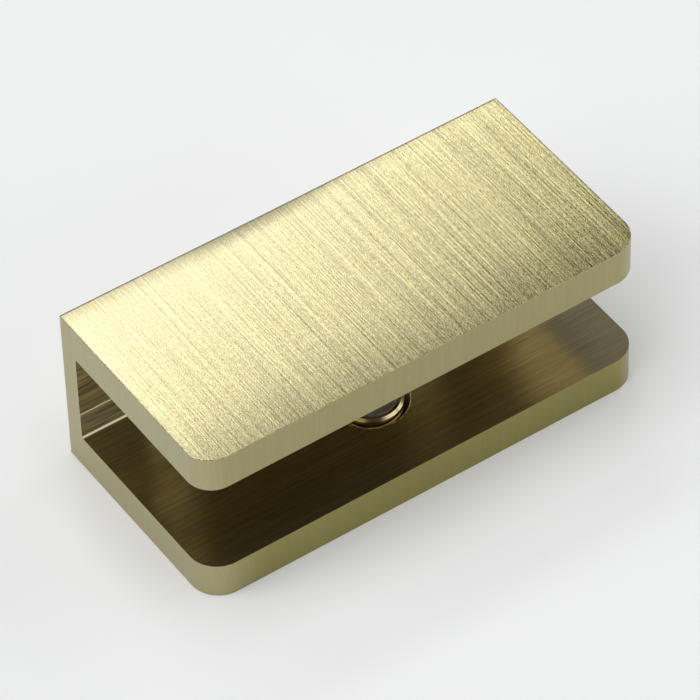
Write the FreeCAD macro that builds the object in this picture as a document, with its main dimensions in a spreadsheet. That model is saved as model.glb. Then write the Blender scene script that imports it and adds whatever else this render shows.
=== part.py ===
import FreeCAD, Part
import math
import os
import Sketcher

# A brass U bracket that holds the edge of a glass or board panel against a wall.
# Frame: X along the channel, +Y towards the wall, +Z up, origin under the middle of the base.
# The slot is open at the front (-Y) and at both ends. A grub screw in the lower jaw clamps the panel.

# Driving dimensions in millimetres, angles in degrees.
SIZES = {
    "bracket_length": 45.0,
    "bracket_depth": 21.6,
    "bracket_height": 16.9,
    "jaw_thickness": 3.65,
    "web_thickness": 2.1,
    "front_corner_radius": 2.8,
    "slot_corner_radius": 0.3,
    "edge_break": 0.15,
    "screw_from_front": 8.8,
    "thread_diameter": 6.0,
    "thread_clearance": 0.05,
    "bore_mouth_chamfer": 0.4,
    "screw_proud": 0.4,
    "screw_end_chamfer": 0.45,
    "screw_foot_chamfer": 0.5,
    "socket_across_flats": 3.0,
    "socket_depth": 1.6,
    "socket_floor": 0.5,
    "cup_rim": 0.1,
    "pad_thickness": 0.45,
    "pad_edge": 0.08,
    "stem_diameter": 2.0,
    "stem_length": 1.0,
    "pad_clearance": 0.05,
    "wall_hole_diameter": 4.5,
    "wall_hole_spacing": 26.0,
    "countersink_diameter": 8.0,
    "countersink_angle": 90.0,
}

# Sizes that follow from the driving ones, as expressions on the sheet.
WEB_INNER_Y = "(Sizes.bracket_depth / 2 - Sizes.web_thickness)"
SCREW_Y = "(Sizes.screw_from_front - Sizes.bracket_depth / 2)"
THREAD_RADIUS = "(Sizes.thread_diameter / 2)"
BORE_RADIUS = f"({THREAD_RADIUS} + Sizes.thread_clearance)"
SCREW_LENGTH = "(Sizes.socket_depth + Sizes.socket_floor + Sizes.stem_length + Sizes.pad_thickness)"
SCREW_FOOT_Z = f"(Sizes.jaw_thickness + Sizes.screw_proud - {SCREW_LENGTH})"
SCREW_END_RADIUS = f"({THREAD_RADIUS} - Sizes.screw_end_chamfer)"
CUP_RADIUS = f"({SCREW_END_RADIUS} - Sizes.cup_rim)"
CUP_FLOOR = f"({SCREW_LENGTH} - Sizes.pad_thickness)"
STEM_HOLE_FLOOR = f"({CUP_FLOOR} - Sizes.stem_length)"
STEM_HOLE_RADIUS = "(Sizes.stem_diameter / 2)"
PAD_RADIUS = f"({CUP_RADIUS} - Sizes.pad_clearance)"
STEM_RADIUS = f"({STEM_HOLE_RADIUS} - Sizes.pad_clearance)"
STEM_HEIGHT = "(Sizes.stem_length - Sizes.pad_clearance)"
PAD_TOP = f"({STEM_HEIGHT} + Sizes.pad_thickness)"
PAD_FOOT_Z = f"({SCREW_FOOT_Z} + {CUP_FLOOR} - {STEM_HEIGHT})"

HEXAGON_SIDES = 6
SAME_PLACE = 1e-4
SHARP_EDGE_DEGREES = 20.0
FULL_TURN = 360.0

document = FreeCAD.newDocument("UBracket")


def fill_sheet():
    """Write each driving dimension in a cell of its own, under its name."""
    sheet = document.addObject("Spreadsheet::Sheet", "Sizes")
    for row, (name, number) in enumerate(SIZES.items(), start=1):
        sheet.set(f"A{row}", name)
        sheet.set(f"B{row}", str(number))
        sheet.setAlias(f"B{row}", name)
    document.recompute()
    return sheet


sizes = fill_sheet()


def value(expression):
    """The number that an expression on the sheet gives."""
    result = sizes.evalExpression(expression)
    return float(getattr(result, "Value", result))


def new_body(label):
    """An empty body whose label names the piece."""
    body = document.addObject("PartDesign::Body", label)
    body.Label = label
    return body


def new_sketch(body, name, plane, offsets=None):
    """A sketch on one of the body's own planes, moved by expressions along its own axes."""
    sketch = body.newObject("Sketcher::SketchObject", name)
    support = next(item for item in body.Origin.OriginFeatures if item.Role == plane)
    sketch.AttachmentSupport = (support, [""])
    sketch.MapMode = "FlatFace"
    for axis, expression in (offsets or {}).items():
        sketch.setExpression(f"AttachmentOffset.Base.{axis}", expression)
    return sketch


def add_dimension(sketch, name, expression, kind, *places):
    """A named dimension of the sketch, bound to the sheet."""
    index = sketch.addConstraint(Sketcher.Constraint(kind, *places, value(expression)))
    sketch.renameConstraint(index, name)
    sketch.setExpression(f"Constraints.{name}", expression)


def add_outline(sketch, corners):
    """A closed loop of straight lines through the corners, each line joined to the next."""
    count = len(corners)
    points = [FreeCAD.Vector(x, y, 0) for x, y in corners]
    for number in range(count):
        sketch.addGeometry(Part.LineSegment(points[number], points[(number + 1) % count]))
    for number in range(count):
        sketch.addConstraint(Sketcher.Constraint("Coincident", number, 2, (number + 1) % count, 1))


def add_half_section(sketch, corners):
    """A closed half section beside the vertical axis, each corner placed by two expressions."""
    add_outline(sketch, [(value(x), value(y)) for x, y in corners])
    for number, (x, y) in enumerate(corners):
        for kind, axis, expression in (("DistanceX", -2, x), ("DistanceY", -1, y)):
            if expression == "0":
                sketch.addConstraint(Sketcher.Constraint("PointOnObject", number, 1, axis))
            else:
                add_dimension(sketch, f"{kind}_{number}", expression, kind, -1, 1, number, 1)


def add_circle(sketch, diameter):
    """A circle about the sketch's origin, with its diameter bound to the sheet."""
    number = sketch.addGeometry(Part.Circle(FreeCAD.Vector(), FreeCAD.Vector(0, 0, 1), value(diameter) / 2))
    sketch.addConstraint(Sketcher.Constraint("Coincident", number, 3, -1, 1))
    add_dimension(sketch, "diameter", diameter, "Diameter", number)


def pick_edges(feature, wanted):
    """Names of the feature's edges that the test accepts."""
    shape = feature.Shape
    return [f"Edge{number}" for number, edge in enumerate(shape.Edges, start=1) if wanted(shape, edge)]


def is_sharp(shape, edge):
    """True where two faces of the shape meet at an angle along the edge."""
    faces = shape.ancestorsOfType(edge, Part.Face)
    middle = edge.valueAt((edge.FirstParameter + edge.LastParameter) / 2)
    normals = [face.normalAt(*face.Surface.parameter(middle)) for face in faces]
    return len(normals) == 2 and normals[0].getAngle(normals[1]) > math.radians(SHARP_EDGE_DEGREES)


def add_dressing(body, kind, name, base, edges, amount_name, amount):
    """A fillet or chamfer on the named edges of the body's last feature."""
    dressing = body.newObject(f"PartDesign::{kind}", name)
    dressing.Base = (base, edges)
    dressing.setExpression(amount_name, amount)
    document.recompute()
    return dressing


def build_channel():
    """The U section, extruded along X, with its corners rounded and its holes cut."""
    body = new_body("u_channel")
    section = new_sketch(body, "ChannelSection", "YZ_Plane")
    depth = value("Sizes.bracket_depth")
    height = value("Sizes.bracket_height")
    jaw = value("Sizes.jaw_thickness")
    web_inner = value(WEB_INNER_Y)
    front = -depth / 2
    back = depth / 2
    outer = [(front, 0), (back, 0), (back, height), (front, height)]
    slot = [(front, height - jaw), (web_inner, height - jaw), (web_inner, jaw), (front, jaw)]
    add_outline(section, outer + slot)
    base, wall, top, upper_front, upper_inner, web, lower_inner, lower_front = range(8)
    for line in (base, top, upper_inner, lower_inner):
        section.addConstraint(Sketcher.Constraint("Horizontal", line))
    for line in (wall, upper_front, web, lower_front):
        section.addConstraint(Sketcher.Constraint("Vertical", line))
    section.addConstraint(Sketcher.Constraint("PointOnObject", base, 1, -1))
    section.addConstraint(Sketcher.Constraint("Vertical", base, 1, top, 2))
    add_dimension(section, "wall_side", "Sizes.bracket_depth / 2", "DistanceX", -1, 1, base, 2)
    add_dimension(section, "depth", "Sizes.bracket_depth", "DistanceX", base, 1, base, 2)
    add_dimension(section, "lower_jaw", "Sizes.jaw_thickness", "DistanceY", lower_front, 2, lower_front, 1)
    add_dimension(section, "height", "Sizes.bracket_height", "DistanceY", wall, 1, wall, 2)
    add_dimension(section, "upper_jaw", "Sizes.jaw_thickness", "DistanceY", upper_front, 2, upper_front, 1)
    add_dimension(section, "web", "Sizes.web_thickness", "DistanceX", web, 1, wall, 1)

    bar = body.newObject("PartDesign::Pad", "Bar")
    bar.Profile = section
    bar.SideType = "Symmetric"
    bar.setExpression("Length", "Sizes.bracket_length")
    document.recompute()

    def is_front_corner(shape, edge):
        along_z = abs(edge.tangentAt(edge.FirstParameter).z) > 1 - SAME_PLACE
        return along_z and all(abs(vertex.Y - front) < SAME_PLACE for vertex in edge.Vertexes)

    def is_slot_corner(shape, edge):
        along_x = abs(edge.tangentAt(edge.FirstParameter).x) > 1 - SAME_PLACE
        return along_x and all(abs(vertex.Y - web_inner) < SAME_PLACE for vertex in edge.Vertexes)

    rounded = add_dressing(body, "Fillet", "FrontCorners", bar, pick_edges(bar, is_front_corner),
                           "Radius", "Sizes.front_corner_radius")
    eased = add_dressing(body, "Fillet", "SlotCorners", rounded, pick_edges(rounded, is_slot_corner),
                         "Radius", "Sizes.slot_corner_radius")
    add_dressing(body, "Chamfer", "EdgeBreaks", eased, pick_edges(eased, is_sharp),
                 "Size", "Sizes.edge_break")

    bore_sketch = new_sketch(body, "BoreCircle", "XY_Plane", {"y": SCREW_Y})
    add_circle(bore_sketch, f"2 * {BORE_RADIUS}")
    bore = body.newObject("PartDesign::Pocket", "ScrewBore")
    bore.Profile = bore_sketch
    bore.Reversed = True
    bore.setExpression("Length", "Sizes.jaw_thickness")
    document.recompute()

    def is_bore_mouth(shape, edge):
        round_edge = isinstance(edge.Curve, Part.Circle)
        return round_edge and abs(edge.Curve.Radius - value(BORE_RADIUS)) < SAME_PLACE

    add_dressing(body, "Chamfer", "BoreMouths", bore, pick_edges(bore, is_bore_mouth),
                 "Size", "Sizes.bore_mouth_chamfer")

    hole_sketch = new_sketch(body, "WallHoleCentres", "XZ_Plane",
                             {"y": "Sizes.bracket_height / 2", "z": f"-{WEB_INNER_Y}"})
    half_spacing = value("Sizes.wall_hole_spacing") / 2
    radius = value("Sizes.wall_hole_diameter") / 2
    for side in (-1, 1):
        centre = FreeCAD.Vector(side * half_spacing, 0, 0)
        hole_sketch.addGeometry(Part.Circle(centre, FreeCAD.Vector(0, 0, 1), radius))
    hole_sketch.addConstraint(Sketcher.Constraint("Equal", 0, 1))
    hole_sketch.addConstraint(Sketcher.Constraint("Symmetric", 0, 3, 1, 3, -1, 1))
    hole_sketch.addConstraint(Sketcher.Constraint("PointOnObject", 0, 3, -1))
    add_dimension(hole_sketch, "spacing", "Sizes.wall_hole_spacing", "DistanceX", 0, 3, 1, 3)
    add_dimension(hole_sketch, "diameter", "Sizes.wall_hole_diameter", "Diameter", 0)
    document.recompute()
    holes = body.newObject("PartDesign::Hole", "WallHoles")
    holes.Profile = hole_sketch
    holes.DepthType = "ThroughAll"
    holes.ThreadType = "None"
    holes.HoleCutType = "Countersink"
    holes.setExpression("Diameter", "Sizes.wall_hole_diameter")
    holes.setExpression("HoleCutDiameter", "Sizes.countersink_diameter")
    holes.setExpression("HoleCutCountersinkAngle", "Sizes.countersink_angle")
    document.recompute()
    return body


def build_screw():
    """The grub screw: a turned body with a cup in its end for the pad, and a hexagon socket in its foot."""
    body = new_body("clamp_screw")
    section = new_sketch(body, "ScrewSection", "XZ_Plane")
    foot_radius = f"({THREAD_RADIUS} - Sizes.screw_foot_chamfer)"
    add_half_section(section, [
        ("0", "0"),
        (foot_radius, "0"),
        (THREAD_RADIUS, "Sizes.screw_foot_chamfer"),
        (THREAD_RADIUS, f"{SCREW_LENGTH} - Sizes.screw_end_chamfer"),
        (SCREW_END_RADIUS, SCREW_LENGTH),
        (CUP_RADIUS, SCREW_LENGTH),
        (CUP_RADIUS, CUP_FLOOR),
        (STEM_HOLE_RADIUS, CUP_FLOOR),
        (STEM_HOLE_RADIUS, STEM_HOLE_FLOOR),
        ("0", STEM_HOLE_FLOOR),
    ])
    add_turning(body, "TurnedScrew", section)

    hexagon = new_sketch(body, "SocketHexagon", "XY_Plane")
    corner_radius = "Sizes.socket_across_flats / sqrt(3)"
    corners = []
    for number in range(HEXAGON_SIDES):
        turn = FreeCAD.Rotation(FreeCAD.Vector(0, 0, 1), number * FULL_TURN / HEXAGON_SIDES)
        corner = turn.multVec(FreeCAD.Vector(value(corner_radius), 0, 0))
        corners.append((corner.x, corner.y))
    add_outline(hexagon, corners)
    guide = Part.Circle(FreeCAD.Vector(), FreeCAD.Vector(0, 0, 1), value(corner_radius))
    ring = hexagon.addGeometry(guide, True)
    hexagon.addConstraint(Sketcher.Constraint("Coincident", ring, 3, -1, 1))
    for number in range(HEXAGON_SIDES):
        hexagon.addConstraint(Sketcher.Constraint("PointOnObject", number, 1, ring))
    for number in range(1, HEXAGON_SIDES):
        hexagon.addConstraint(Sketcher.Constraint("Equal", 0, number))
    hexagon.addConstraint(Sketcher.Constraint("PointOnObject", 0, 1, -1))
    add_dimension(hexagon, "corner_radius", corner_radius, "Radius", ring)
    socket = body.newObject("PartDesign::Pocket", "HexagonSocket")
    socket.Profile = hexagon
    socket.Reversed = True
    socket.setExpression("Length", "Sizes.socket_depth")
    document.recompute()
    place_on_screw_axis(body, SCREW_FOOT_Z)
    return body


def build_pad():
    """The plastic pad: a disc that fills the screw's cup, on a stem that holds it there."""
    body = new_body("screw_tip")
    section = new_sketch(body, "PadSection", "XZ_Plane")
    add_half_section(section, [
        ("0", "0"),
        (STEM_RADIUS, "0"),
        (STEM_RADIUS, STEM_HEIGHT),
        (PAD_RADIUS, STEM_HEIGHT),
        (PAD_RADIUS, f"{PAD_TOP} - Sizes.pad_edge"),
        (f"{PAD_RADIUS} - Sizes.pad_edge", PAD_TOP),
        ("0", PAD_TOP),
    ])
    add_turning(body, "TurnedPad", section)
    place_on_screw_axis(body, PAD_FOOT_Z)
    return body


def add_turning(body, name, section):
    """A full turn of the half section about its vertical axis."""
    turning = body.newObject("PartDesign::Revolution", name)
    turning.Profile = section
    turning.ReferenceAxis = (section, ["V_Axis"])
    turning.Angle = FULL_TURN
    document.recompute()


def place_on_screw_axis(body, foot_z):
    """Stand the body on the screw's axis, with its foot at the given height."""
    body.setExpression("Placement.Base.y", SCREW_Y)
    body.setExpression("Placement.Base.z", foot_z)
    document.recompute()


def check(bodies):
    """Stop unless every object was computed, every cut removed metal and every piece is one valid solid."""
    for item in document.Objects:
        if "Invalid" in item.State or "Error" in item.State:
            raise RuntimeError(f"{item.Name} was not computed: {item.State}")
        if item.TypeId in ("PartDesign::Pocket", "PartDesign::Hole"):
            if item.Shape.Volume >= item.BaseFeature.Shape.Volume:
                raise RuntimeError(f"{item.Name} cuts nothing")
    for body in bodies:
        if body.Shape.isNull() or not body.Shape.isValid() or len(body.Shape.Solids) != 1:
            raise RuntimeError(f"{body.Label} is not one valid solid")


def main():
    bodies = [build_channel(), build_screw(), build_pad()]
    document.recompute()
    check(bodies)
    os.makedirs("parts", exist_ok=True)
    for body in bodies:
        body.Shape.exportStep(f"parts/{body.Label}.step")
        box = body.Shape.BoundBox
        print(f"{body.Label}: volume {body.Shape.Volume:.2f} mm3, "
              f"size {box.XLength:.2f} x {box.YLength:.2f} x {box.ZLength:.2f} mm")


main()
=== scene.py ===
"""U bracket: a brushed brass channel with its clamp screw and pad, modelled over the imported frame."""
import math
from collections import namedtuple

import bmesh
import bpy
from mathutils import Euler, Matrix, Vector


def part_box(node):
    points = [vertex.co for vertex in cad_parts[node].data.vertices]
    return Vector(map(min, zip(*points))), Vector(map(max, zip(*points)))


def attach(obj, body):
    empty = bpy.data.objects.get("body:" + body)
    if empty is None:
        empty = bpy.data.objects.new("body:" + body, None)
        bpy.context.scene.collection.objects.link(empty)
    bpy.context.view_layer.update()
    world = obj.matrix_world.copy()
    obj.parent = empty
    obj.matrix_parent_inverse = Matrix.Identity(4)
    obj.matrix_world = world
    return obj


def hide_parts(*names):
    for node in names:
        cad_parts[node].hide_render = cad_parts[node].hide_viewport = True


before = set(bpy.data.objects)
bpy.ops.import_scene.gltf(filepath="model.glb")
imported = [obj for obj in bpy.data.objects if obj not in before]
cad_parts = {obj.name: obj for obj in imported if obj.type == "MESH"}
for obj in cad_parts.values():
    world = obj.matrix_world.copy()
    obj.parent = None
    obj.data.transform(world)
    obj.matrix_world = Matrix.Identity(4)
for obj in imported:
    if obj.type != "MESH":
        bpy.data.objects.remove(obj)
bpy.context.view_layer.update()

bl_info = {
    "name": "U Bracket",
    "version": (1, 0, 0),
    "blender": (4, 5, 0),
    "location": "View3D > Sidebar > Bracket",
    "description": "Models a brushed brass U bracket with its clamp screw and pad",
    "category": "Object",
}

CHANNEL_LOW, CHANNEL_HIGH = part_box("u_channel")
SCREW_LOW, SCREW_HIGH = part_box("clamp_screw")
PAD_LOW, PAD_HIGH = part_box("screw_tip")
MID_HEIGHT = (CHANNEL_LOW.z + CHANNEL_HIGH.z) / 2
SCREW_CENTRE = (SCREW_LOW + SCREW_HIGH) / 2

MM = 0.001
# How far a cutter reaches past the faces that it cuts through
OVERCUT = 0.5 * MM
# Sides of the cylinders that the holes and the screw are made from, and of the pad's
ROUND_SIDES = 96
PAD_SIDES = 72
PAD_EDGE_STEPS = 4
# Least share of a normal along an axis for a face that looks that way, and for a brushed face
SQUARE_ON = 0.98
BRUSHED_ON = 0.985
# Most that such a share is for a face that looks across the axis
ACROSS = 0.05
# Depth of a tool's lines in the bump of a finish
LINE_DEPTH = 0.0005 * MM
HALF_WAVE = (0.5, 0.0, 0.0)
# Most of a noise lies between these
NOISE_LOW, NOISE_HIGH = 0.3, 0.7
# A layer of stretched noise, with its scale in waves per metre along each axis
Layer = namedtuple("Layer", "scale octaves strength")
FLOOR_SIZE = 4.0
SENSOR_WIDTH = 36.0


def length_prop(name, description, default):
    """A length in metres that a user may change."""
    return bpy.props.FloatProperty(
        name=name, description=description, default=default, precision=6, unit="LENGTH"
    )


def colour_prop(name, description, default):
    """A linear colour that a user may change."""
    return bpy.props.FloatVectorProperty(
        name=name, description=description, default=default, size=3, min=0.0, max=1.0,
        subtype="COLOR",
    )


def angle_prop(name, description, degrees):
    """An angle that a user may change, given here in degrees."""
    return bpy.props.FloatProperty(
        name=name, description=description, default=math.radians(degrees), subtype="ANGLE"
    )


class BracketChannelSizes(bpy.types.PropertyGroup):
    """Sizes of the channel beside those of its box in the frame."""

    jaw_thickness: length_prop("Jaw thickness", "Thickness of the two jaws", 3.65 * MM)
    web_thickness: length_prop("Web thickness", "Thickness of the back web", 2.1 * MM)
    front_corner_radius: length_prop(
        "Front corner radius", "Radius of the jaws' corners seen from above", 2.8 * MM
    )
    slot_corner_radius: length_prop(
        "Slot corner radius", "Radius where the upper jaw meets the web", 0.3 * MM
    )
    slot_corner_cut: length_prop(
        "Slot corner cut", "Depth of the slope where the lower jaw meets the web", 0.11 * MM
    )
    near_corner_radius: length_prop(
        "Near corner radius", "Radius of the upper jaw's left corner, ground a little tighter",
        2.45 * MM,
    )
    ledge_height: length_prop(
        "Ledge height", "Height above the lower jaw of the line that two milling cuts left", 2.8 * MM
    )
    ledge_depth: length_prop(
        "Ledge depth", "How far the web stands forward below that line", 0.055 * MM
    )
    web_slope: bpy.props.FloatProperty(
        name="Web slope", description="Steepness of the slopes at that line and at the lower jaw",
        default=1.45,
    )
    edge_break: length_prop("Edge break", "Width of the broken edges", 0.032 * MM)
    front_roll: length_prop(
        "Front roll", "How far brushing has worn the top down at its front edge", 0.031 * MM
    )
    front_roll_reach: length_prop(
        "Front roll reach", "How far back from the front edge the wear begins", 6.5 * MM
    )
    back_roll: length_prop(
        "Back roll", "How far brushing has worn the top down at its back edge", 0.083 * MM
    )
    back_roll_reach: length_prop(
        "Back roll reach", "How far forward from the back edge the wear begins", 2.5 * MM
    )
    back_roll_place: length_prop(
        "Back roll place", "Where along the back edge the wear is deepest", -3.0 * MM
    )
    back_roll_spread: length_prop(
        "Back roll spread", "How far along the back edge the wear spreads", 8.0 * MM
    )
    right_rim: length_prop("Right rim", "How far the top's right edge is worn down", 0.03 * MM)
    right_rim_reach: length_prop("Right rim reach", "Width of that worn edge", 0.15 * MM)
    back_rim: length_prop("Back rim", "How far the back edge itself is worn down", 0.015 * MM)
    back_rim_reach: length_prop("Back rim reach", "Width of that worn edge", 0.18 * MM)
    back_roll_least: bpy.props.FloatProperty(
        name="Back roll least", description="Share of that wear along the whole back edge",
        default=0.5, subtype="FACTOR",
    )
    bore_radius: length_prop("Bore radius", "Radius of the tapped hole", 3.05 * MM)
    bore_mouth: length_prop("Bore mouth", "Chamfer at the ends of the tapped hole", 0.4 * MM)
    lip_width: length_prop("Lip width", "Width of the lip that the tap has raised", 0.1 * MM)
    lip_slope: angle_prop("Lip slope", "Slope of that lip's outer side", 30.0)
    lip_lean: length_prop("Lip lean", "How far that lip is wider at the back", 0.05 * MM)
    wall_hole_radius: length_prop("Wall hole radius", "Radius of the wall holes", 2.25 * MM)
    wall_hole_spacing: length_prop("Wall hole spacing", "Distance of the wall holes", 26.0 * MM)
    countersink_radius: length_prop(
        "Countersink radius", "Radius of the countersinks at the web's slot side", 4.0 * MM
    )


class BracketScrewSizes(bpy.types.PropertyGroup):
    """Sizes of the clamp screw and its pad."""

    thread_pitch: length_prop("Thread pitch", "Rise of the thread in one turn", 1.0 * MM)
    thread_depth: length_prop("Thread depth", "Depth of the thread's groove", 0.5 * MM)
    end_chamfer: length_prop("End chamfer", "Chamfer at the pad's end", 0.27 * MM)
    plain_neck: length_prop("Plain neck", "Length below that chamfer without a thread", 0.6 * MM)
    neck_relief: length_prop("Neck relief", "Depth of the plain neck below the chamfer", 0.15 * MM)
    foot_chamfer: length_prop("Foot chamfer", "Chamfer at the socket's end", 0.5 * MM)
    cup_rim: length_prop("Cup rim", "Width of the flat rim round the pad", 0.1 * MM)
    cup_depth: length_prop("Cup depth", "Depth of the recess that holds the pad", 0.5 * MM)
    socket_across_flats: length_prop(
        "Socket across flats", "Width of the hexagon socket", 3.0 * MM
    )
    socket_depth: length_prop("Socket depth", "Depth of the hexagon socket", 1.6 * MM)
    pad_thickness: length_prop("Pad thickness", "Thickness of the pad's disc", 0.45 * MM)
    pad_edge: length_prop("Pad edge", "Rounding of the pad's rim", 0.08 * MM)
    stem_radius: length_prop("Stem radius", "Radius of the pad's stem", 1.0 * MM)


class BracketFinishes(bpy.types.PropertyGroup):
    """Colours of the finishes."""

    brushed: colour_prop("Brushed brass", "Brass of the brushed faces", (0.60, 0.545, 0.34))
    # Painted shade: a darker, yellower brass for the brushed faces' front right, which lies out of the
    # lamp's highlight
    shaded_brushed: colour_prop(
        "Far brushed brass", "Brass of those faces towards their front right", (0.58, 0.525, 0.25)
    )
    ground: colour_prop("Ground brass", "Brass of the two ends", (0.45, 0.408, 0.238))
    front: colour_prop("Front brass", "Brass of the upper jaw's front edge", (0.376, 0.333, 0.165))
    # Painted shade: the lower jaw's front is darker and yellower than the upper, standing in for the
    # shadowed floor that it reflects
    shaded_low_front: colour_prop(
        "Low front brass", "Brass of the lower jaw's front edge", (0.328, 0.294, 0.104)
    )
    milled: colour_prop("Milled brass", "Brass inside the slot", (0.52, 0.45, 0.27))
    turned: colour_prop("Turned brass", "Brass of the screw", (0.70, 0.585, 0.31))
    web: colour_prop("Web brass", "Brass of the web above its milled line", (0.41, 0.34, 0.18))
    web_foot: colour_prop("Web foot", "Brass of the web below its milled line", (0.37, 0.335, 0.2))
    # Painted highlight: a far paler brass that makes the web's slopes shine as bright lines
    slope: colour_prop("Slope brass", "Brass of the bright slopes at the web", (0.80, 0.745, 0.53))
    pad: colour_prop("Pad grey", "Plastic of the pad", (0.25, 0.24, 0.22))


def power_prop(name, description, default):
    """A lamp's power in watts that a user may change."""
    return bpy.props.FloatProperty(
        name=name, description=description, default=default, unit="POWER"
    )


def lamp_group(title, power, width, height, distance, azimuth, elevation):
    """A group of one soft lamp's settings: its power, size, distance and the way that it stands."""
    settings = {
        "power": power_prop("Power", "Power of the lamp", power),
        "width": length_prop("Width", "Width of the lamp", width),
        "height": length_prop("Height", "Height of the lamp", height),
        "distance": length_prop("Distance", "Distance of the lamp", distance),
        "azimuth": angle_prop("Azimuth", "Side that the lamp stands on, from the front", azimuth),
        "elevation": angle_prop("Elevation", "Height angle of the lamp", elevation),
    }
    return type(title, (bpy.types.PropertyGroup,), {"__annotations__": settings})


LAMPS = {
    "back_lamp": lamp_group("BracketBackLamp", 0.71, 0.62, 0.1, 1.0, 178.0, 51.5),
    "side_back_lamp": lamp_group("BracketSideBackLamp", 0.19, 0.26, 0.1, 1.0, 160.0, 49.7),
    "low_back_lamp": lamp_group("BracketLowBackLamp", 0.3, 0.6, 0.2, 1.0, 174.0, 43.0),
    "right_back_lamp": lamp_group("BracketRightBackLamp", 0.062, 0.35, 0.3, 1.0, 150.0, 44.0),
    "top_lamp": lamp_group("BracketTopLamp", 22.0, 1.6, 1.6, 2.0, 270.0, 85.0),
    "left_lamp": lamp_group("BracketLeftLamp", 20.3, 2.4, 1.2, 2.0, 262.0, 45.0),
    "right_lamp": lamp_group("BracketRightLamp", 10.8, 1.9, 1.4, 2.0, 87.0, 31.0),
    "front_lamp": lamp_group("BracketFrontLamp", 7.2, 1.9, 0.95, 2.0, 27.0, 24.5),
}


class BracketStage(bpy.types.PropertyGroup):
    """The floor, the light and the camera."""

    floor: colour_prop("Floor", "Colour of the floor", (0.84, 0.845, 0.85))
    surround: bpy.props.FloatProperty(
        name="Surround", description="Strength of the light from all round", default=0.03
    )
    camera_place: bpy.props.FloatVectorProperty(
        name="Camera place", description="Where the camera stands",
        default=(-0.179773, -0.272877, 0.348804), size=3, subtype="TRANSLATION",
    )
    camera_azimuth: angle_prop("Camera azimuth", "Side that the camera looks from", -33.2944)
    camera_elevation: angle_prop("Camera elevation", "Height angle of the camera", 46.1982)
    camera_roll: angle_prop("Camera roll", "Turn of the camera about its view", -1.8710)
    camera_lens: bpy.props.FloatProperty(
        name="Camera lens", description="Focal length in millimetres", default=284.381,
    )


# Modelling helpers


def leave_edit_mode():
    """Back to object mode with nothing selected."""
    if bpy.context.object and bpy.context.object.mode != "OBJECT":
        bpy.ops.object.mode_set(mode="OBJECT")
    bpy.ops.object.select_all(action="DESELECT")


def take(piece):
    """Makes one piece the only selected and active one, in object mode."""
    leave_edit_mode()
    piece.select_set(True)
    bpy.context.view_layer.objects.active = piece


def named_primitive(name):
    """The primitive that was just added, with its place put into its mesh."""
    piece = bpy.context.object
    piece.name = name
    piece.data.name = name
    bpy.ops.object.transform_apply(location=True, rotation=True, scale=True)
    return piece


def add_cylinder(name, radius, low, high, sides=ROUND_SIDES, place=(0, 0)):
    """An upright cylinder from one height to another."""
    leave_edit_mode()
    bpy.ops.mesh.primitive_cylinder_add(
        vertices=sides, radius=radius, depth=high - low, location=(*place, (low + high) / 2)
    )
    return named_primitive(name)


def edit(piece, mode="FACE"):
    """Opens a piece for editing with nothing selected."""
    take(piece)
    bpy.ops.object.mode_set(mode="EDIT")
    bpy.ops.mesh.select_mode(type=mode)
    bpy.ops.mesh.select_all(action="DESELECT")


def pick_faces(piece, wanted):
    """Selects the faces of an open piece that wanted(face) accepts."""
    mesh = bmesh.from_edit_mesh(piece.data)
    for face in mesh.faces:
        face.select_set(bool(wanted(face)))
    mesh.select_flush(True)
    bmesh.update_edit_mesh(piece.data)


def pick_edges(piece, wanted):
    """Selects the edges of an open piece that wanted(edge) accepts."""
    mesh = bmesh.from_edit_mesh(piece.data)
    for edge in mesh.edges:
        edge.select_set(bool(wanted(edge)))
    mesh.select_flush(False)
    bmesh.update_edit_mesh(piece.data)


def pull(*way):
    """Pulls the selected faces of an open piece out, by a way along X, Y and Z."""
    bpy.ops.mesh.extrude_region_move(TRANSFORM_OT_translate={"value": way})


def widen(share):
    """Makes what is selected in an open piece wider or narrower, as seen from above."""
    bpy.ops.transform.resize(value=(share, share, 1))


def middle(edge):
    """Middle of an edge."""
    return (edge.verts[0].co + edge.verts[1].co) / 2


def along(edge, axis):
    """Whether an edge runs along an axis, 0 to 2."""
    run = (edge.verts[1].co - edge.verts[0].co).normalized()
    return abs(run[axis]) > 0.999


def near(value, target, slack=0.01 * MM):
    """Whether two lengths are the same but for a little slack."""
    return abs(value - target) < slack


def cut(piece, cutter, operation="DIFFERENCE"):
    """Takes a cutter out of a piece, or joins it on."""
    take(piece)
    modifier = piece.modifiers.new("Cut", "BOOLEAN")
    modifier.operation = operation
    modifier.solver = "EXACT"
    modifier.object = cutter
    bpy.ops.object.modifier_apply(modifier=modifier.name)
    bpy.data.objects.remove(cutter, do_unlink=True)


def smooth(piece, degrees):
    """Smooth shading up to an angle, with flat faces kept flat."""
    take(piece)
    bpy.ops.object.shade_smooth_by_angle(angle=math.radians(degrees))
    modifier = piece.modifiers.new("Flat faces", "WEIGHTED_NORMAL")
    modifier.keep_sharp = True
    modifier.weight = 100
    bpy.ops.object.modifier_apply(modifier=modifier.name)


def round_cutter(name, radius, low, high, mouth):
    """A cylinder along Z with a chamfer that widens at both ends, for a bored hole."""
    cutter = add_cylinder(name, radius, low + mouth, high - mouth)
    for way in (-1, 1):
        edit(cutter)
        pick_faces(cutter, lambda face: face.normal.z * way > SQUARE_ON)
        pull(0, 0, way * (mouth + OVERCUT))
        widen((radius + mouth + OVERCUT) / radius)
        leave_edit_mode()
    return cutter


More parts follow.
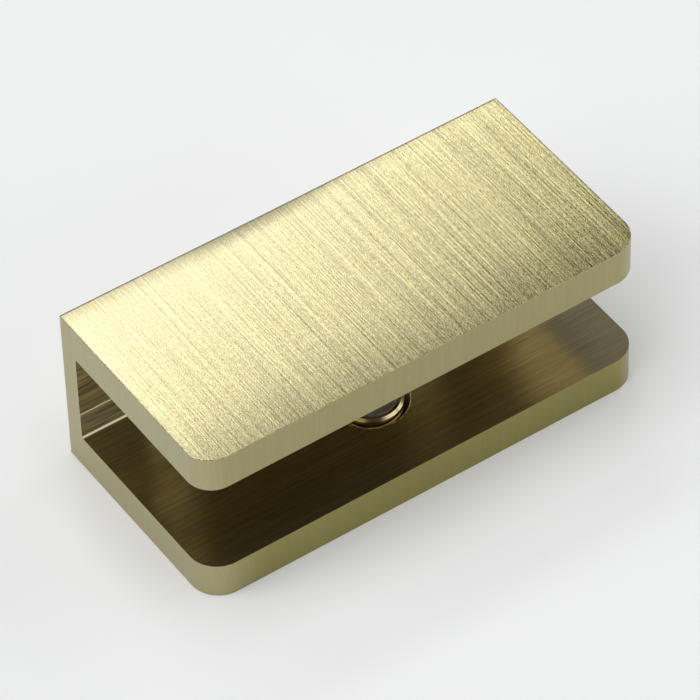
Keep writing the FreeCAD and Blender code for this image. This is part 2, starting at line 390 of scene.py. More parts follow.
def countersink_cutter(name, radius, wide_radius, low, high):
    """A cylinder along Z whose upper end widens to a countersink, 90 degrees across."""
    neck = high - (wide_radius - radius)
    cutter = add_cylinder(name, radius, low - OVERCUT, neck)
    edit(cutter)
    pick_faces(cutter, lambda face: face.normal.z > SQUARE_ON)
    pull(0, 0, high - neck + OVERCUT)
    widen((wide_radius + OVERCUT) / radius)
    leave_edit_mode()
    return cutter


def move_mesh(piece, matrix):
    """Turns or moves a piece's mesh, with its object left at the origin."""
    piece.data.transform(matrix)
    piece.data.update()


# Material helpers


def set_inputs(tree, node, inputs):
    """Sets a node's inputs to values, or links them from sockets."""
    for key, value in inputs.items():
        if isinstance(value, bpy.types.NodeSocket):
            tree.links.new(value, node.inputs[key])
        else:
            node.inputs[key].default_value = value


def add_node(tree, kind, inputs=None, **settings):
    """A node with its settings and its inputs."""
    node = tree.nodes.new(kind)
    for key, value in settings.items():
        setattr(node, key, value)
    set_inputs(tree, node, inputs or {})
    return node


def new_material(name):
    """An empty node material with its Principled shader."""
    material = bpy.data.materials.new(name)
    material.use_nodes = True
    tree = material.node_tree
    tree.nodes.clear()
    shader = add_node(tree, "ShaderNodeBsdfPrincipled")
    add_node(tree, "ShaderNodeOutputMaterial", {"Surface": shader.outputs["BSDF"]})
    return material, tree, shader


def noise(tree, place, scale, detail=2.0, roughness=0.5, shift=(0.0, 0.0, 0.0)):
    """Noise stretched by a scale in waves per metre along each axis, and shifted by waves."""
    mapping = add_node(
        tree, "ShaderNodeMapping", {"Vector": place, "Scale": scale, "Location": shift}
    )
    texture = add_node(
        tree, "ShaderNodeTexNoise",
        {"Vector": mapping.outputs[0], "Scale": 1.0, "Detail": detail, "Roughness": roughness},
    )
    return texture.outputs[0]


def maths(tree, operation, first, second=0.0, third=0.0):
    """One sum."""
    node = add_node(tree, "ShaderNodeMath", {0: first, 1: second, 2: third}, operation=operation)
    return node.outputs[0]


def spread(tree, value, low, high, to_low, to_high):
    """A value carried from one range to another and held there."""
    node = add_node(
        tree, "ShaderNodeMapRange",
        {"Value": value, "From Min": low, "From Max": high, "To Min": to_low, "To Max": to_high},
    )
    return node.outputs[0]


def varied(tree, value, low, high):
    """A noise carried to the range from low to high."""
    return spread(tree, value, NOISE_LOW, NOISE_HIGH, low, high)


def place_on_piece(tree):
    """The place of a spot on its piece."""
    return add_node(tree, "ShaderNodeTexCoord").outputs["Object"]


def taken_apart(tree, place):
    """The sockets X, Y and Z of a place."""
    return add_node(tree, "ShaderNodeSeparateXYZ", {0: place}).outputs


def tinted(tree, colour, shade):
    """A colour, given or from a socket, made lighter and darker by a shade about 1."""
    if not isinstance(colour, bpy.types.NodeSocket):
        colour = tuple(colour)
    node = add_node(tree, "ShaderNodeVectorMath", {0: colour, "Scale": shade}, operation="SCALE")
    return node.outputs["Vector"]


def blended(tree, share, first, second):
    """Two colours, given or from sockets: the first where the share is 0, the second where it is 1."""
    ends = [
        end if isinstance(end, bpy.types.NodeSocket) else (*end, 1.0) for end in (first, second)
    ]
    # The Mix node's colour sockets have the numbers 6 and 7, and its colour output the number 2
    node = add_node(tree, "ShaderNodeMix", {0: share, 6: ends[0], 7: ends[1]}, data_type="RGBA")
    return node.outputs[2]


def bumped(tree, height, strength, distance):
    """A normal that a pattern tilts, as if it were that deep."""
    inputs = {"Height": height, "Strength": strength, "Distance": distance}
    return add_node(tree, "ShaderNodeBump", inputs).outputs[0]


def layered(tree, place, layers):
    """A shade about 1, from layers of stretched noise.

    A layer without further octaves is kept fine: the same noise half a wave on is taken from it.
    """
    shade = 1.0
    for scale, octaves, strength in layers:
        level = 0.5 if octaves else noise(tree, place, scale, octaves, 1.0, HALF_WAVE)
        step = maths(tree, "SUBTRACT", noise(tree, place, scale, octaves, 1.0), level)
        shade = maths(tree, "MULTIPLY_ADD", step, strength, shade)
    return shade


def lined_brass(name, layers, roughness, anisotropy):
    """Brass with the lines of a tool, still without colour, and the shade of those lines.

    Across the lines its shine is wide, along them narrow, and the dark lines are a little rougher.
    """
    material, tree, shader = new_material(name)
    shade = layered(tree, place_on_piece(tree), layers)
    dark, light = 0.7, 1.3
    dark_rough, light_rough = roughness * 1.04, roughness * 0.98
    rough = spread(tree, shade, dark, light, dark_rough, light_rough)
    tangent = add_node(tree, "ShaderNodeTangent", direction_type="UV_MAP", uv_map="lay")
    set_inputs(tree, shader, {
        "Roughness": rough, "Normal": bumped(tree, shade, 0.5, LINE_DEPTH),
        "Tangent": tangent.outputs[0], "Metallic": 1.0, "Anisotropic": anisotropy,
    })
    return material, shade


def shader_of(material):
    """The Principled shader of a material."""
    return next(node for node in material.node_tree.nodes if node.type == "BSDF_PRINCIPLED")


def coloured(material, colour, shade):
    """Gives a material its colour, made lighter and darker by a shade about 1."""
    tree = material.node_tree
    set_inputs(tree, shader_of(material), {"Base Color": tinted(tree, colour, shade)})
    return material


# The channel

BRUSHED, GROUND, MILLED, WEB, SLOPE, EDGE, BORED = range(7)
CORNER_STEPS = 24
SLOT_CORNER_STEPS = 5
# Steps of the worn top: behind the front corners, at the back, at a rim, and in the wear's spread
# along the back, with those to the left and right of where the wear is deepest
FRONT_STEPS = 4
BACK_STEPS = 10
RIM_STEPS = 3
SPREAD_STEPS = 4
LEFT_STEPS = 9
RIGHT_STEPS = 12
SHARP_EDGE = math.radians(60)
# Room round a place where faces are looked for, as a factor
WITH_SLACK = 1.05


def slot_floor(sizes):
    """Height of the lower jaw's face in the slot."""
    return CHANNEL_LOW.z + sizes.jaw_thickness


def slot_roof(sizes):
    """Height of the upper jaw's face in the slot."""
    return CHANNEL_HIGH.z - sizes.jaw_thickness


def web_face(sizes):
    """Where the web's face in the slot lies along Y."""
    return CHANNEL_HIGH.y - sizes.web_thickness


def foot_face(sizes):
    """Where the web's face below its milled line lies along Y."""
    return web_face(sizes) - sizes.ledge_depth


def ledge_top(sizes):
    """Height of the web's milled line."""
    return slot_floor(sizes) + sizes.ledge_height


class BRACKET_OT_channel(bpy.types.Operator):
    """Model the brass channel with its jaws, web, tapped hole and wall holes"""

    bl_idname = "bracket.channel"
    bl_label = "Channel"
    bl_options = {"REGISTER", "UNDO"}

    def execute(self, context):
        sizes = context.scene.bracket_channel
        channel = draw_channel(sizes)
        round_front_corners(channel, sizes)
        round_slot_corners(channel, sizes)
        roll_top(channel, sizes)
        break_edges(channel, sizes)
        bore_holes(channel, sizes)
        smooth(channel, degrees=22.0)
        lay_finishes(channel, sizes)
        dress_channel(channel, context.scene.bracket_finishes)
        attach(channel, "bracket")
        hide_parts("u_channel")
        return {"FINISHED"}


def draw_channel(sizes):
    """The U section drawn on a plane at the left end and pulled to the right end."""
    leave_edit_mode()
    box = CHANNEL_HIGH - CHANNEL_LOW
    centre = (CHANNEL_HIGH + CHANNEL_LOW) / 2
    bpy.ops.mesh.primitive_plane_add(
        size=1, location=(CHANNEL_LOW.x, centre.y, centre.z), rotation=(0, math.radians(90), 0)
    )
    bpy.context.object.scale = (box.z, box.y, 1)
    channel = named_primitive("brass_channel")
    planes = (
        ((0, 0, slot_floor(sizes)), (0, 0, 1)),
        ((0, 0, slot_roof(sizes)), (0, 0, 1)),
        ((0, web_face(sizes), 0), (0, 1, 0)),
        ((0, foot_face(sizes), 0), (0, 1, 0)),
        ((0, 0, ledge_top(sizes)), (0, 0, 1)),
    )
    edit(channel)
    for point, normal in planes:
        bpy.ops.mesh.select_all(action="SELECT")
        bpy.ops.mesh.bisect(plane_co=point, plane_no=normal, threshold=1e-7)
    pick_faces(channel, lambda face: is_slot(face.calc_center_median(), sizes))
    bpy.ops.mesh.delete(type="FACE")
    bpy.ops.mesh.select_all(action="SELECT")
    bpy.ops.mesh.dissolve_faces(use_verts=False)
    bpy.ops.mesh.select_all(action="SELECT")
    pull(box.x, 0, 0)
    bpy.ops.mesh.select_all(action="SELECT")
    bpy.ops.mesh.dissolve_limited(angle_limit=math.radians(1))
    bpy.ops.mesh.select_all(action="SELECT")
    bpy.ops.mesh.normals_make_consistent(inside=False)
    leave_edit_mode()
    return channel


def is_slot(point, sizes):
    """Whether a point of the section lies in the slot, which is a little deeper above the ledge."""
    back = web_face(sizes) if point.z > ledge_top(sizes) else foot_face(sizes)
    return slot_floor(sizes) < point.z < slot_roof(sizes) and point.y < back


def round_front_corners(channel, sizes):
    """Rounds the jaws' upright front corners."""
    edit(channel, "EDGE")
    for near_one, radius in ((True, sizes.near_corner_radius), (False, sizes.front_corner_radius)):
        pick_edges(channel, lambda edge: is_front_corner(edge) and is_near_corner(edge) == near_one)
        bpy.ops.mesh.bevel(offset=radius, segments=CORNER_STEPS, affect="EDGES")
    leave_edit_mode()


def is_front_corner(edge):
    """Whether an edge is one of the jaws' upright corners that are still sharp."""
    spot = middle(edge)
    at_end = near(abs(spot.x), CHANNEL_HIGH.x)
    return along(edge, 2) and near(spot.y, CHANNEL_LOW.y) and at_end


def is_near_corner(edge):
    """Whether an edge is at the upper jaw's left end."""
    spot = middle(edge)
    return spot.x < 0 and spot.z > MID_HEIGHT


def round_slot_corners(channel, sizes):
    """Rounds the slot's upper corner along the web, and slopes its lower corner and the ledge."""
    corners = (
        (web_face(sizes), slot_roof(sizes), sizes.slot_corner_radius, SLOT_CORNER_STEPS),
        (foot_face(sizes), slot_floor(sizes), sizes.slot_corner_cut, 1),
    )
    edit(channel, "EDGE")
    for y, z, offset, segments in corners:
        pick_edges(channel, lambda edge: along(edge, 0) and is_at(middle(edge), y, z))
        bpy.ops.mesh.bevel(offset=offset, segments=segments, affect="EDGES")
    cut_top = slot_floor(sizes) + sizes.slot_corner_cut
    slopes = (
        (web_face(sizes), ledge_top(sizes), sizes.ledge_depth * sizes.web_slope),
        (foot_face(sizes), cut_top, sizes.slot_corner_cut * (sizes.web_slope - 1)),
    )
    for y, z, rise in slopes:
        pick_edges(channel, lambda edge: along(edge, 0) and is_at(middle(edge), y, z))
        bpy.ops.transform.translate(value=(0, 0, rise))
    leave_edit_mode()


def is_at(point, y, z):
    """Whether a point lies at a corner of the section."""
    return near(point.y, y) and near(point.z, z)


def roll_top(channel, sizes):
    """Wears the top face down a little towards its front, back and right edges, as brushing does."""
    edit(channel, "EDGE")
    corner_rows = {
        round(vertex.co.y, 8)
        for vertex in bmesh.from_edit_mesh(channel.data).verts
        if near(vertex.co.z, CHANNEL_HIGH.z)
    }
    for y in sorted(corner_rows)[1:-1] + worn_rows(sizes):
        split_top(channel, (0, y, 0), (0, 1, 0))
    for x in worn_columns(sizes):
        split_top(channel, (x, 0, 0), (1, 0, 0))
    mesh = bmesh.from_edit_mesh(channel.data)
    for vertex in mesh.verts:
        if near(vertex.co.z, CHANNEL_HIGH.z):
            vertex.co.z -= wear(vertex.co, sizes)
    bmesh.update_edit_mesh(channel.data)
    leave_edit_mode()


def worn_rows(sizes):
    """Where the top is split along its length, so that it can bend towards its front and back."""
    corner_end = CHANNEL_LOW.y + sizes.front_corner_radius
    flat = sizes.front_roll_reach - sizes.front_corner_radius
    back = CHANNEL_HIGH.y
    rows = [corner_end + flat * i / FRONT_STEPS for i in range(1, FRONT_STEPS + 1)]
    rows += [back - sizes.back_roll_reach * i / BACK_STEPS for i in range(1, BACK_STEPS + 1)]
    rows += [back - sizes.back_rim_reach * i / RIM_STEPS for i in range(1, RIM_STEPS + 1)]
    return rows


def worn_columns(sizes):
    """Where the top is split across, so that its wear can change along the back and at the right."""
    step = sizes.back_roll_spread / SPREAD_STEPS
    columns = [sizes.back_roll_place + step * i for i in range(-LEFT_STEPS, RIGHT_STEPS + 1)]
    right = CHANNEL_HIGH.x
    columns += [right - sizes.right_rim_reach * i / RIM_STEPS for i in range(1, RIM_STEPS + 1)]
    return columns


def split_top(channel, point, normal):
    """Splits the top face of the open channel along a plane."""
    pick_faces(channel, lambda face: near(face.calc_center_median().z, CHANNEL_HIGH.z))
    bpy.ops.mesh.bisect(plane_co=point, plane_no=normal, threshold=1e-6)


def wear(spot, sizes):
    """How far the top has worn down at a spot, most at one place along its back edge."""
    bell = math.exp(-(((spot.x - sizes.back_roll_place) / sizes.back_roll_spread) ** 2))
    share = sizes.back_roll_least + (1 - sizes.back_roll_least) * bell
    from_front = spot.y - CHANNEL_LOW.y
    from_back = CHANNEL_HIGH.y - spot.y
    from_right = CHANNEL_HIGH.x - spot.x
    return (
        worn(from_front, sizes.front_roll, sizes.front_roll_reach)
        + worn(from_back, sizes.back_roll * share, sizes.back_roll_reach)
        + worn(from_back, sizes.back_rim, sizes.back_rim_reach)
        + worn(from_right, sizes.right_rim, sizes.right_rim_reach)
    )


def worn(distance, drop, reach):
    """How far the top has worn down at a distance from an edge."""
    return drop * max(0.0, 1 - distance / reach) ** 2


def break_edges(channel, sizes):
    """Takes the sharpness off the outer edges, but leaves the milled slot's edges sharp."""
    edit(channel, "EDGE")
    pick_edges(
        channel,
        lambda edge: edge.calc_face_angle(0.0) > SHARP_EDGE and not is_slot_edge(edge, sizes),
    )
    bpy.ops.mesh.bevel(
        offset=sizes.edge_break, segments=1, affect="EDGES", clamp_overlap=False
    )
    leave_edit_mode()


def is_slot_edge(edge, sizes):
    """Whether an edge is one of the milled slot's own."""
    spot = middle(edge)
    half_jaw = sizes.jaw_thickness / 2
    web_middle = web_face(sizes) + sizes.web_thickness / 2
    between_jaws = slot_floor(sizes) - half_jaw < spot.z < slot_roof(sizes) + half_jaw
    return between_jaws and spot.y < web_middle


def bore_holes(channel, sizes):
    """Bores the tapped hole through the lower jaw and the countersunk wall holes through the web."""
    raise_lip(channel, sizes)
    bore = round_cutter(
        "bore_cutter", sizes.bore_radius, CHANNEL_LOW.z, slot_floor(sizes), sizes.bore_mouth
    )
    move_mesh(bore, Matrix.Translation((SCREW_CENTRE.x, SCREW_CENTRE.y, 0)))
    cut(channel, bore)
    for side in (-1, 1):
        hole = countersink_cutter(
            "wall_hole_cutter", sizes.wall_hole_radius, sizes.countersink_radius,
            -sizes.web_thickness, 0.0,
        )
        turn = Matrix.Rotation(math.radians(90), 4, "X")
        centre = (side * sizes.wall_hole_spacing / 2, web_face(sizes), MID_HEIGHT)
        move_mesh(hole, Matrix.Translation(centre) @ turn)
        cut(channel, hole)


def raise_lip(channel, sizes):
    """Joins on a low cone that the bore then leaves as a lip round the mouth of the tapped hole."""
    mouth = Vector((SCREW_CENTRE.x, SCREW_CENTRE.y + sizes.lip_lean, slot_floor(sizes)))
    low, high = mouth.z - sizes.lip_width, mouth.z + sizes.lip_width
    foot = sizes.bore_radius + sizes.bore_mouth + sizes.lip_width
    run = sizes.lip_width / math.tan(sizes.lip_slope)
    lip = add_cylinder("lip_cone", foot + run, low, high, place=mouth.xy)
    edit(lip)
    pick_faces(lip, lambda face: face.normal.z > SQUARE_ON)
    narrow = (foot - run) / (foot + run)
    bpy.ops.transform.resize(value=(narrow, narrow, 1), center_override=mouth)
    leave_edit_mode()
    cut(channel, lip, "UNION")


def finish_of(face, sizes):
    """The finish that a face of the channel has, by its place and the way it looks."""
    n, p = face.normal, face.center
    edge = sizes.edge_break * WITH_SLACK
    between_jaws = slot_floor(sizes) - edge < p.z < slot_roof(sizes) + edge
    between_ends = abs(p.x) < CHANNEL_HIGH.x - edge
    if is_bored(n, p, sizes):
        return BORED
    if between_jaws and between_ends and CHANNEL_LOW.y + edge < p.y < web_face(sizes) + edge:
        web_room = sizes.slot_corner_radius * 1.5
        by_web = p.y > web_face(sizes) - web_room
        if by_web and n.y < -SQUARE_ON:
            return WEB
        if by_web and abs(n.x) < ACROSS and 0 < n.z < SQUARE_ON:
            return SLOPE
        if abs(n.z) > SQUARE_ON or (by_web and abs(n.x) < ACROSS):
            return MILLED
    if abs(n.z) > BRUSHED_ON or n.y > BRUSHED_ON:
        return BRUSHED
    if abs(n.z) < ACROSS:
        return GROUND
    return EDGE


def is_bored(n, p, sizes):
    """Whether a face, looking along n at the place p, is the side of a hole."""
    leaning = 0.9
    mouth = sizes.bore_radius + sizes.bore_mouth * WITH_SLACK
    if (p.xy - SCREW_CENTRE.xy).length < mouth and p.z < slot_floor(sizes):
        return abs(n.z) < leaning
    from_hole = math.hypot(abs(p.x) - sizes.wall_hole_spacing / 2, p.z - MID_HEIGHT)
    hole_room = sizes.countersink_radius * 1.01
    return from_hole < hole_room and p.y > 0 and abs(n.y) < leaning


def lay_finishes(channel, sizes):
    """Gives each face its finish, and a map whose first direction runs across the finish's lines."""
    layer = channel.data.uv_layers.new(name="lay")
    mostly = 0.7
    for face in channel.data.polygons:
        face.material_index = finish_of(face, sizes)
        n = face.normal
        for loop in face.loop_indices:
            p = channel.data.vertices[channel.data.loops[loop].vertex_index].co / MM
            if face.material_index in (MILLED, WEB, SLOPE):
                spot = (p.y + p.z, p.x)
            elif abs(n.z) > mostly:
                spot = (p.x, p.y)
            elif n.y > mostly:
                spot = (p.x, p.z)
            else:
                spot = (p.x - p.y if p.x < 0 else p.x + p.y, p.z)
            layer.data[loop].uv = spot


def dress_channel(channel, finishes):
    """The channel's finishes, in the order that the faces name them."""
    makers = (
        brushed_faces, ground_edges, milled_jaws, milled_web, web_slopes, broken_edges, bored_holes
    )
    for maker in makers:
        channel.data.materials.append(maker(finishes))


def brushed_faces(finishes):
    """The brushed top, back and underside: lines, dashes and specks, with painted shade to the front
    right, away from the lamp's highlight: stronger lines and a darker, yellower brass.
    """
    bands = Layer((450.0, 16.0, 16.0), octaves=2.0, strength=0.12)
    lines = Layer((2600.0, 20.0, 20.0), octaves=1.0, strength=0.62)
    blots = Layer((3500.0, 3000.0, 3000.0), octaves=1.0, strength=0.78)
    dashes = Layer((7000.0, 150.0, 150.0), octaves=0.0, strength=0.82)
    specks = Layer((8500.0, 6500.0, 6500.0), octaves=0.0, strength=1.0)
    layers = (bands, lines, blots, dashes, specks)
    material, shade = lined_brass("brushed_faces", layers, roughness=0.285, anisotropy=1.0)
    tree = material.node_tree
    spot = taken_apart(tree, place_on_piece(tree))
    # Painted shade: towards the front right, out of the lamp's highlight, the lines grow stronger and
    # the brass turns darker and yellower
    right = spread(tree, spot["X"], CHANNEL_LOW.x, CHANNEL_HIGH.x, 0.0, 1.0)
    front = spread(tree, spot["Y"], CHANNEL_HIGH.y, CHANNEL_LOW.y, 0.0, 0.5)
    share = maths(tree, "MULTIPLY_ADD", maths(tree, "MULTIPLY", right, right), 0.5, front)
    shallow, deep = 0.44, 1.95
    depth = spread(tree, share, 0.0, 1.0, shallow, deep)
    shaded_lines = maths(tree, "MULTIPLY_ADD", maths(tree, "SUBTRACT", shade, 1.0), depth, 1.0)
    colour = blended(tree, share, finishes.brushed, finishes.shaded_brushed)
    return coloured(material, colour, shaded_lines)


def ground_edges(finishes):
    """The ground ends and front edges, with faint upright lines: greyer at the ends.

    The grey reaches further in at the lower jaw's left end. The lower jaw's front has painted shade: a
    darker, yellower brass for the shadowed floor that it reflects.
    """
    lines = Layer((1200.0, 1200.0, 40.0), octaves=3.0, strength=0.22)
    dashes = Layer((6000.0, 6000.0, 1500.0), octaves=1.0, strength=0.12)
    material, shade = lined_brass("ground_edges", (lines, dashes), roughness=0.36, anisotropy=0.5)
    tree = material.node_tree
    spot = taken_apart(tree, place_on_piece(tree))
    reach, low_left_reach = 2.8 * MM, 6.0 * MM
    from_middle = maths(tree, "ABSOLUTE", spot["X"])
    upper = maths(tree, "GREATER_THAN", spot["Z"], MID_HEIGHT)
    right = maths(tree, "GREATER_THAN", spot["X"], 0.0)
    short = maths(tree, "MAXIMUM", upper, right)
    low_left_begin = CHANNEL_HIGH.x - low_left_reach
    begin = maths(tree, "MULTIPLY_ADD", short, low_left_reach - reach, low_left_begin)
    end_share = spread(tree, from_middle, begin, CHANNEL_HIGH.x, 0.0, 1.0)
    # Painted shade: the lower jaw's front takes a darker, yellower brass for the shadowed floor it
    # reflects
    front = blended(tree, upper, finishes.shaded_low_front, finishes.front)
    colour = blended(tree, end_share, front, finishes.ground)
    return coloured(material, colour, shade)


def milled_jaws(finishes):
    """The jaws' faces in the slot, with fine lines along the slot: partly bright, partly dull."""
    lines = Layer((30.0, 3400.0, 3400.0), octaves=2.0, strength=0.8)
    scratches = Layer((250.0, 7000.0, 7000.0), octaves=1.0, strength=0.7)
    layers = (lines, scratches)
    material, shade = lined_brass("milled_jaws", layers, roughness=0.3, anisotropy=0.5)
    coloured(material, finishes.milled, shade)
    tree = material.node_tree
    dull = shader_of(material)
    shared = ("Base Color", "Normal", "Tangent")
    same = {name: dull.inputs[name].links[0].from_socket for name in shared}
    bright = add_node(
        tree, "ShaderNodeBsdfPrincipled",
        {**same, "Metallic": 1.0, "Roughness": 0.19, "Anisotropic": 0.6},
    )
    bright_share = 0.68
    both = add_node(
        tree, "ShaderNodeMixShader",
        {0: bright_share, 1: dull.outputs["BSDF"], 2: bright.outputs["BSDF"]},
    )
    output = dull.outputs["BSDF"].links[0].to_node
    set_inputs(tree, output, {"Surface": both.outputs[0]})
    return material


def milled_web(finishes):
    """The web's face in the slot, with strong lines along the slot: greyer below its milled line."""
    lines = Layer((40.0, 2300.0, 2300.0), octaves=2.0, strength=2.0)
    scratches = Layer((300.0, 6000.0, 6000.0), octaves=1.0, strength=1.7)
    layers = (lines, scratches)
    material, shade = lined_brass("milled_web", layers, roughness=0.5, anisotropy=0.9)
    tree = material.node_tree
    line = ledge_top(bpy.context.scene.bracket_channel)
    spot = taken_apart(tree, place_on_piece(tree))
    above = maths(tree, "GREATER_THAN", spot["Z"], line)
    colour = blended(tree, above, finishes.web_foot, finishes.web)
    return coloured(material, colour, shade)


def web_slopes(finishes):
    """The slopes at the web's milled line and at its foot, with a painted highlight: a far paler brass
    than the web's, so that they shine as bright lines.
    """
    lines = Layer((40.0, 2000.0, 2000.0), octaves=2.0, strength=0.3)
    material, shade = lined_brass("web_slopes", (lines,), roughness=0.3, anisotropy=0.5)
    # Painted highlight: the slopes take a far paler brass than the web
    return coloured(material, finishes.slope, shade)


def broken_edges(finishes):
    """The narrow broken edges, with bright and dark specks: the dark ones ragged nicks, the bright ones
    painted glints.
    """
    # Painted glints: strong bright specks along the edges, with dark nicks between them
    specks = Layer((3000.0, 3000.0, 3000.0), octaves=1.0, strength=5.0)
    material, shade = lined_brass("broken_edges", (specks,), roughness=0.3, anisotropy=0.0)
    return coloured(material, finishes.brushed, shade)


def bored_holes(finishes):
    """The sides of the holes, with fine rings."""
    rings = Layer((100.0, 100.0, 2500.0), octaves=3.0, strength=0.4)
    material, shade = lined_brass("bored_holes", (rings,), roughness=0.3, anisotropy=0.3)
    return coloured(material, finishes.web_foot, shade)


# The clamp screw and its pad

THREAD_CUTS = 63


class BRACKET_OT_clamp_screw(bpy.types.Operator):
    """Model the threaded clamp screw with its cup and hexagon socket"""

    bl_idname = "bracket.clamp_screw"
    bl_label = "Clamp Screw"
    bl_options = {"REGISTER", "UNDO"}

    def execute(self, context):
        sizes = context.scene.bracket_screw
        screw = draw_screw(sizes)
        cut_socket(screw, sizes)
        smooth(screw, degrees=25.0)
        screw.data.materials.append(turned_brass(context.scene.bracket_finishes))
        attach(screw, "screw")
        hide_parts("clamp_screw")
        return {"FINISHED"}


def draw_screw(sizes):
    """The screw's cylinder with its thread pressed in, and the cup for the pad at its upper end."""
    radius = (SCREW_HIGH.x - SCREW_LOW.x) / 2
    screw = add_cylinder("threaded_screw", radius, SCREW_LOW.z, SCREW_HIGH.z)
    edit(screw, "EDGE")
    pick_edges(screw, lambda edge: along(edge, 2))
    bpy.ops.mesh.subdivide(number_cuts=THREAD_CUTS)
    mesh = bmesh.from_edit_mesh(screw.data)
    for vertex in mesh.verts:
        press_thread(vertex.co, radius, sizes)
    bmesh.update_edit_mesh(screw.data)
    bpy.ops.mesh.select_mode(type="FACE")
    pick_faces(screw, lambda face: face.normal.z > SQUARE_ON and len(face.verts) == ROUND_SIDES)
    end_radius = radius - sizes.end_chamfer
    pull(0, 0, 0)
    widen((end_radius - sizes.cup_rim) / end_radius)
    pull(0, 0, -sizes.cup_depth)
    leave_edit_mode()
    move_mesh(screw, Matrix.Translation((SCREW_CENTRE.x, SCREW_CENTRE.y, 0)))
    return screw


def press_thread(point, radius, sizes):
    """Moves a point of the screw's side in to the thread's groove or to the chamfer of an end."""
    turn = math.atan2(point.y, point.x) / (2 * math.pi)
    phase = (point.z / sizes.thread_pitch - turn) % 1.0
    flank = abs(phase - 0.5) * 2
    crest, root = 0.82, 0.18
    ramp = min(1.0, max(0.0, (flank - root) / (crest - root)))
    reach = radius - sizes.thread_depth * (1 - ramp)
    reach = min(reach, radius - sizes.foot_chamfer + (point.z - SCREW_LOW.z))
    below_end = SCREW_HIGH.z - point.z
    if below_end < sizes.end_chamfer:
        reach = radius - sizes.end_chamfer + below_end
    elif below_end < sizes.end_chamfer + sizes.plain_neck:
        reach = radius - sizes.neck_relief
    flat = math.hypot(point.x, point.y)
    point.x *= reach / flat
    point.y *= reach / flat


def cut_socket(screw, sizes):
    """Cuts the hexagon socket into the screw's foot."""
    corner_radius = sizes.socket_across_flats / math.sqrt(3)
    low, high = SCREW_LOW.z - OVERCUT, SCREW_LOW.z + sizes.socket_depth
    socket = add_cylinder(
        "socket_cutter", corner_radius, low, high, sides=6, place=SCREW_CENTRE.xy
    )
    cut(screw, socket)


def turned_brass(finishes):
    """Turned brass with fine rings round the screw's axis."""
    material, tree, shader = new_material("turned_screw")
    to_axis = {"Vector": place_on_piece(tree), "Location": (-SCREW_CENTRE.x, -SCREW_CENTRE.y, 0)}
    centred = add_node(tree, "ShaderNodeMapping", to_axis).outputs[0]
    spot = taken_apart(tree, centred)
    flat = add_node(tree, "ShaderNodeCombineXYZ", {"X": spot["X"], "Y": spot["Y"]})
    radius = add_node(tree, "ShaderNodeVectorMath", {0: flat.outputs[0]}, operation="LENGTH")
    ring_place = add_node(
        tree, "ShaderNodeCombineXYZ", {"X": radius.outputs["Value"], "Y": spot["Z"]}
    )
    rings = noise(tree, ring_place.outputs[0], (9000.0, 9000.0, 1.0), 2.0, 0.6)
    grain = noise(tree, centred, (1800.0, 1800.0, 1800.0), 3.0, 0.6)
    ring_shade = varied(tree, rings, 0.88, 1.1)
    grain_shade = varied(tree, grain, 0.9, 1.08)
    shade = maths(tree, "MULTIPLY", ring_shade, grain_shade)
    set_inputs(tree, shader, {
        "Roughness": varied(tree, grain, 0.17, 0.23),
        "Normal": bumped(tree, rings, 0.4, 0.002 * MM), "Metallic": 1.0,
    })
    return coloured(material, finishes.turned, shade)


class BRACKET_OT_pad(bpy.types.Operator):
    """Model the plastic pad that presses on the panel"""

    bl_idname = "bracket.pad"
    bl_label = "Pad"
    bl_options = {"REGISTER", "UNDO"}

    def execute(self, context):
        pad = draw_pad(context.scene.bracket_screw)
        smooth(pad, degrees=33.0)
        pad.data.materials.append(pad_plastic(context.scene.bracket_finishes))
        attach(pad, "pad")
        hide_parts("screw_tip")
        return {"FINISHED"}


def draw_pad(sizes):
    """The pad's disc with rounded rim, and its stem pulled down from the underside."""
    centre = (PAD_LOW + PAD_HIGH) / 2
    radius = (PAD_HIGH.x - PAD_LOW.x) / 2
    underside = PAD_HIGH.z - sizes.pad_thickness
    pad = add_cylinder("clamp_pad", radius, underside, PAD_HIGH.z, PAD_SIDES)
    edit(pad, "EDGE")
    pick_edges(pad, lambda edge: near(middle(edge).z, PAD_HIGH.z))
    bpy.ops.mesh.bevel(offset=sizes.pad_edge, segments=PAD_EDGE_STEPS, affect="EDGES")
    bpy.ops.mesh.select_mode(type="FACE")
    pick_faces(pad, lambda face: face.normal.z < -SQUARE_ON)
    pull(0, 0, 0)
    widen(sizes.stem_radius / radius)
    pull(0, 0, PAD_LOW.z - underside)
    leave_edit_mode()
    move_mesh(pad, Matrix.Translation((centre.x, centre.y, 0)))
    return pad


def pad_plastic(finishes):
    """Dull grey plastic with faint moulding marks."""
    material, tree, shader = new_material("pad_plastic")
    place = place_on_piece(tree)
    marks = noise(tree, place, (500.0, 2600.0, 500.0), 3.0, 0.6)
    grain = noise(tree, place, (9000.0, 9000.0, 9000.0), 2.0, 0.5)
    mark_shade = varied(tree, marks, 0.8, 1.2)
    grain_shade = varied(tree, grain, 0.94, 1.06)
    shade = maths(tree, "MULTIPLY", mark_shade, grain_shade)
    set_inputs(tree, shader, {
        "Roughness": varied(tree, marks, 0.42, 0.55),
        "Normal": bumped(tree, grain, 0.3, 0.004 * MM),
    })
    return coloured(material, finishes.pad, shade)


# The stage


class BRACKET_OT_stage(bpy.types.Operator):
    """Lay the floor, hang the lamps and set up the camera"""

    bl_idname = "bracket.stage"
    bl_label = "Stage"
    bl_options = {"REGISTER", "UNDO"}

    def execute(self, context):
        stage = context.scene.bracket_stage
        lay_floor(stage)
        light_surround(context.scene, stage)
        for name in LAMPS:
            hang_lamp(context.scene, name, getattr(context.scene, "bracket_" + name))
        set_camera(context.scene, stage)
        context.scene.view_settings.view_transform = "Standard"
        return {"FINISHED"}


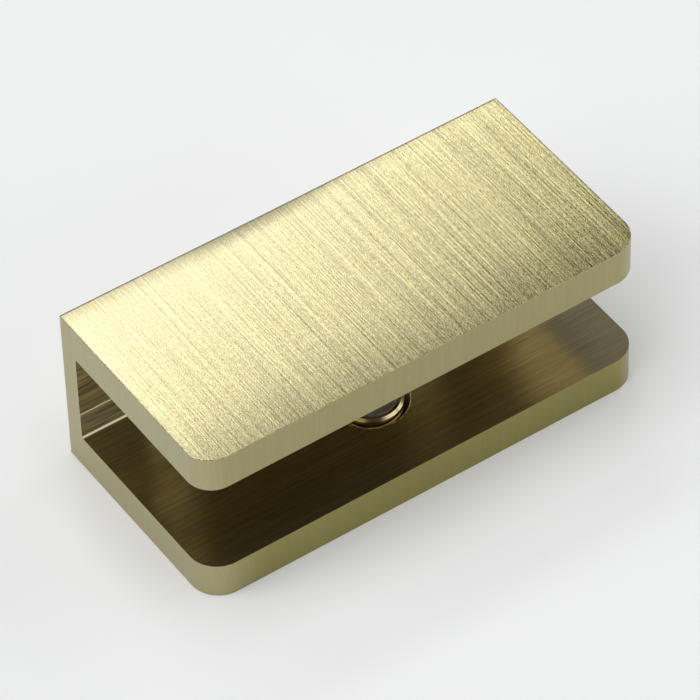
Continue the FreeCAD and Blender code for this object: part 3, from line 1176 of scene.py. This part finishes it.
def lay_floor(stage):
    """A wide pale floor with a faint unevenness."""
    leave_edit_mode()
    bpy.ops.mesh.primitive_plane_add(size=FLOOR_SIZE, location=(0, 0, CHANNEL_LOW.z))
    floor = named_primitive("floor")
    material, tree, shader = new_material("floor_paper")
    cloud = noise(tree, place_on_piece(tree), (30.0, 30.0, 30.0), 2.0, 0.5)
    set_inputs(tree, shader, {"Roughness": 0.85, "Specular IOR Level": 0.2})
    coloured(material, stage.floor, varied(tree, cloud, 0.995, 1.005))
    floor.data.materials.append(material)


def light_surround(scene, stage):
    """Even light from all round."""
    world = bpy.data.worlds.new("surround")
    world.use_nodes = True
    tree = world.node_tree
    tree.nodes.clear()
    light = {"Color": (1, 1, 1, 1), "Strength": stage.surround}
    shade = add_node(tree, "ShaderNodeBackground", light)
    add_node(tree, "ShaderNodeOutputWorld", {"Surface": shade.outputs[0]})
    scene.world = world


def hang_lamp(scene, name, sizes):
    """A soft lamp, aimed at the bracket."""
    data = bpy.data.lights.new(name, "AREA")
    data.shape = "RECTANGLE"
    data.size = sizes.width
    data.size_y = sizes.height
    data.energy = sizes.power
    lamp = bpy.data.objects.new(name, data)
    scene.collection.objects.link(lamp)
    side, rise = sizes.azimuth, sizes.elevation
    way = Vector((
        math.sin(side) * math.cos(rise), -math.cos(side) * math.cos(rise), math.sin(rise)
    ))
    lamp.location = way * sizes.distance
    lamp.rotation_euler = way.to_track_quat("Z", "Y").to_euler()


def set_camera(scene, stage):
    """The camera where the photograph was taken from."""
    data = bpy.data.cameras.new("camera")
    data.lens = stage.camera_lens
    data.sensor_width = SENSOR_WIDTH
    data.clip_start = 0.01
    camera = bpy.data.objects.new("camera", data)
    scene.collection.objects.link(camera)
    camera.location = stage.camera_place
    aim = Euler((math.radians(90) - stage.camera_elevation, 0, stage.camera_azimuth))
    turn = aim.to_matrix() @ Matrix.Rotation(stage.camera_roll, 3, "Z")
    camera.rotation_euler = turn.to_euler()
    scene.camera = camera


# The add-on


class BRACKET_PT_panel(bpy.types.Panel):
    """Lists the bracket's pieces and the stage"""

    bl_idname = "BRACKET_PT_panel"
    bl_label = "U Bracket"
    bl_space_type = "VIEW_3D"
    bl_region_type = "UI"
    bl_category = "Bracket"

    def draw(self, context):
        for operator in OPERATORS:
            self.layout.operator(operator.bl_idname)


GROUPS = (
    ("bracket_channel", BracketChannelSizes),
    ("bracket_screw", BracketScrewSizes),
    ("bracket_finishes", BracketFinishes),
    ("bracket_stage", BracketStage),
    *(("bracket_" + name, group) for name, group in LAMPS.items()),
)
OPERATORS = (BRACKET_OT_channel, BRACKET_OT_clamp_screw, BRACKET_OT_pad, BRACKET_OT_stage)


def register():
    """Makes the settings, the operators and the panel known."""
    for name, group in GROUPS:
        bpy.utils.register_class(group)
        setattr(bpy.types.Scene, name, bpy.props.PointerProperty(type=group))
    for operator in OPERATORS:
        bpy.utils.register_class(operator)
    bpy.utils.register_class(BRACKET_PT_panel)


def unregister():
    """Takes them out again."""
    bpy.utils.unregister_class(BRACKET_PT_panel)
    for operator in reversed(OPERATORS):
        bpy.utils.unregister_class(operator)
    for name, group in reversed(GROUPS):
        delattr(bpy.types.Scene, name)
        bpy.utils.unregister_class(group)


def main():
    """Models every piece and sets up the stage."""
    register()
    bpy.ops.bracket.channel()
    bpy.ops.bracket.clamp_screw()
    bpy.ops.bracket.pad()
    bpy.ops.bracket.stage()


if __name__ == "__main__":
    main()
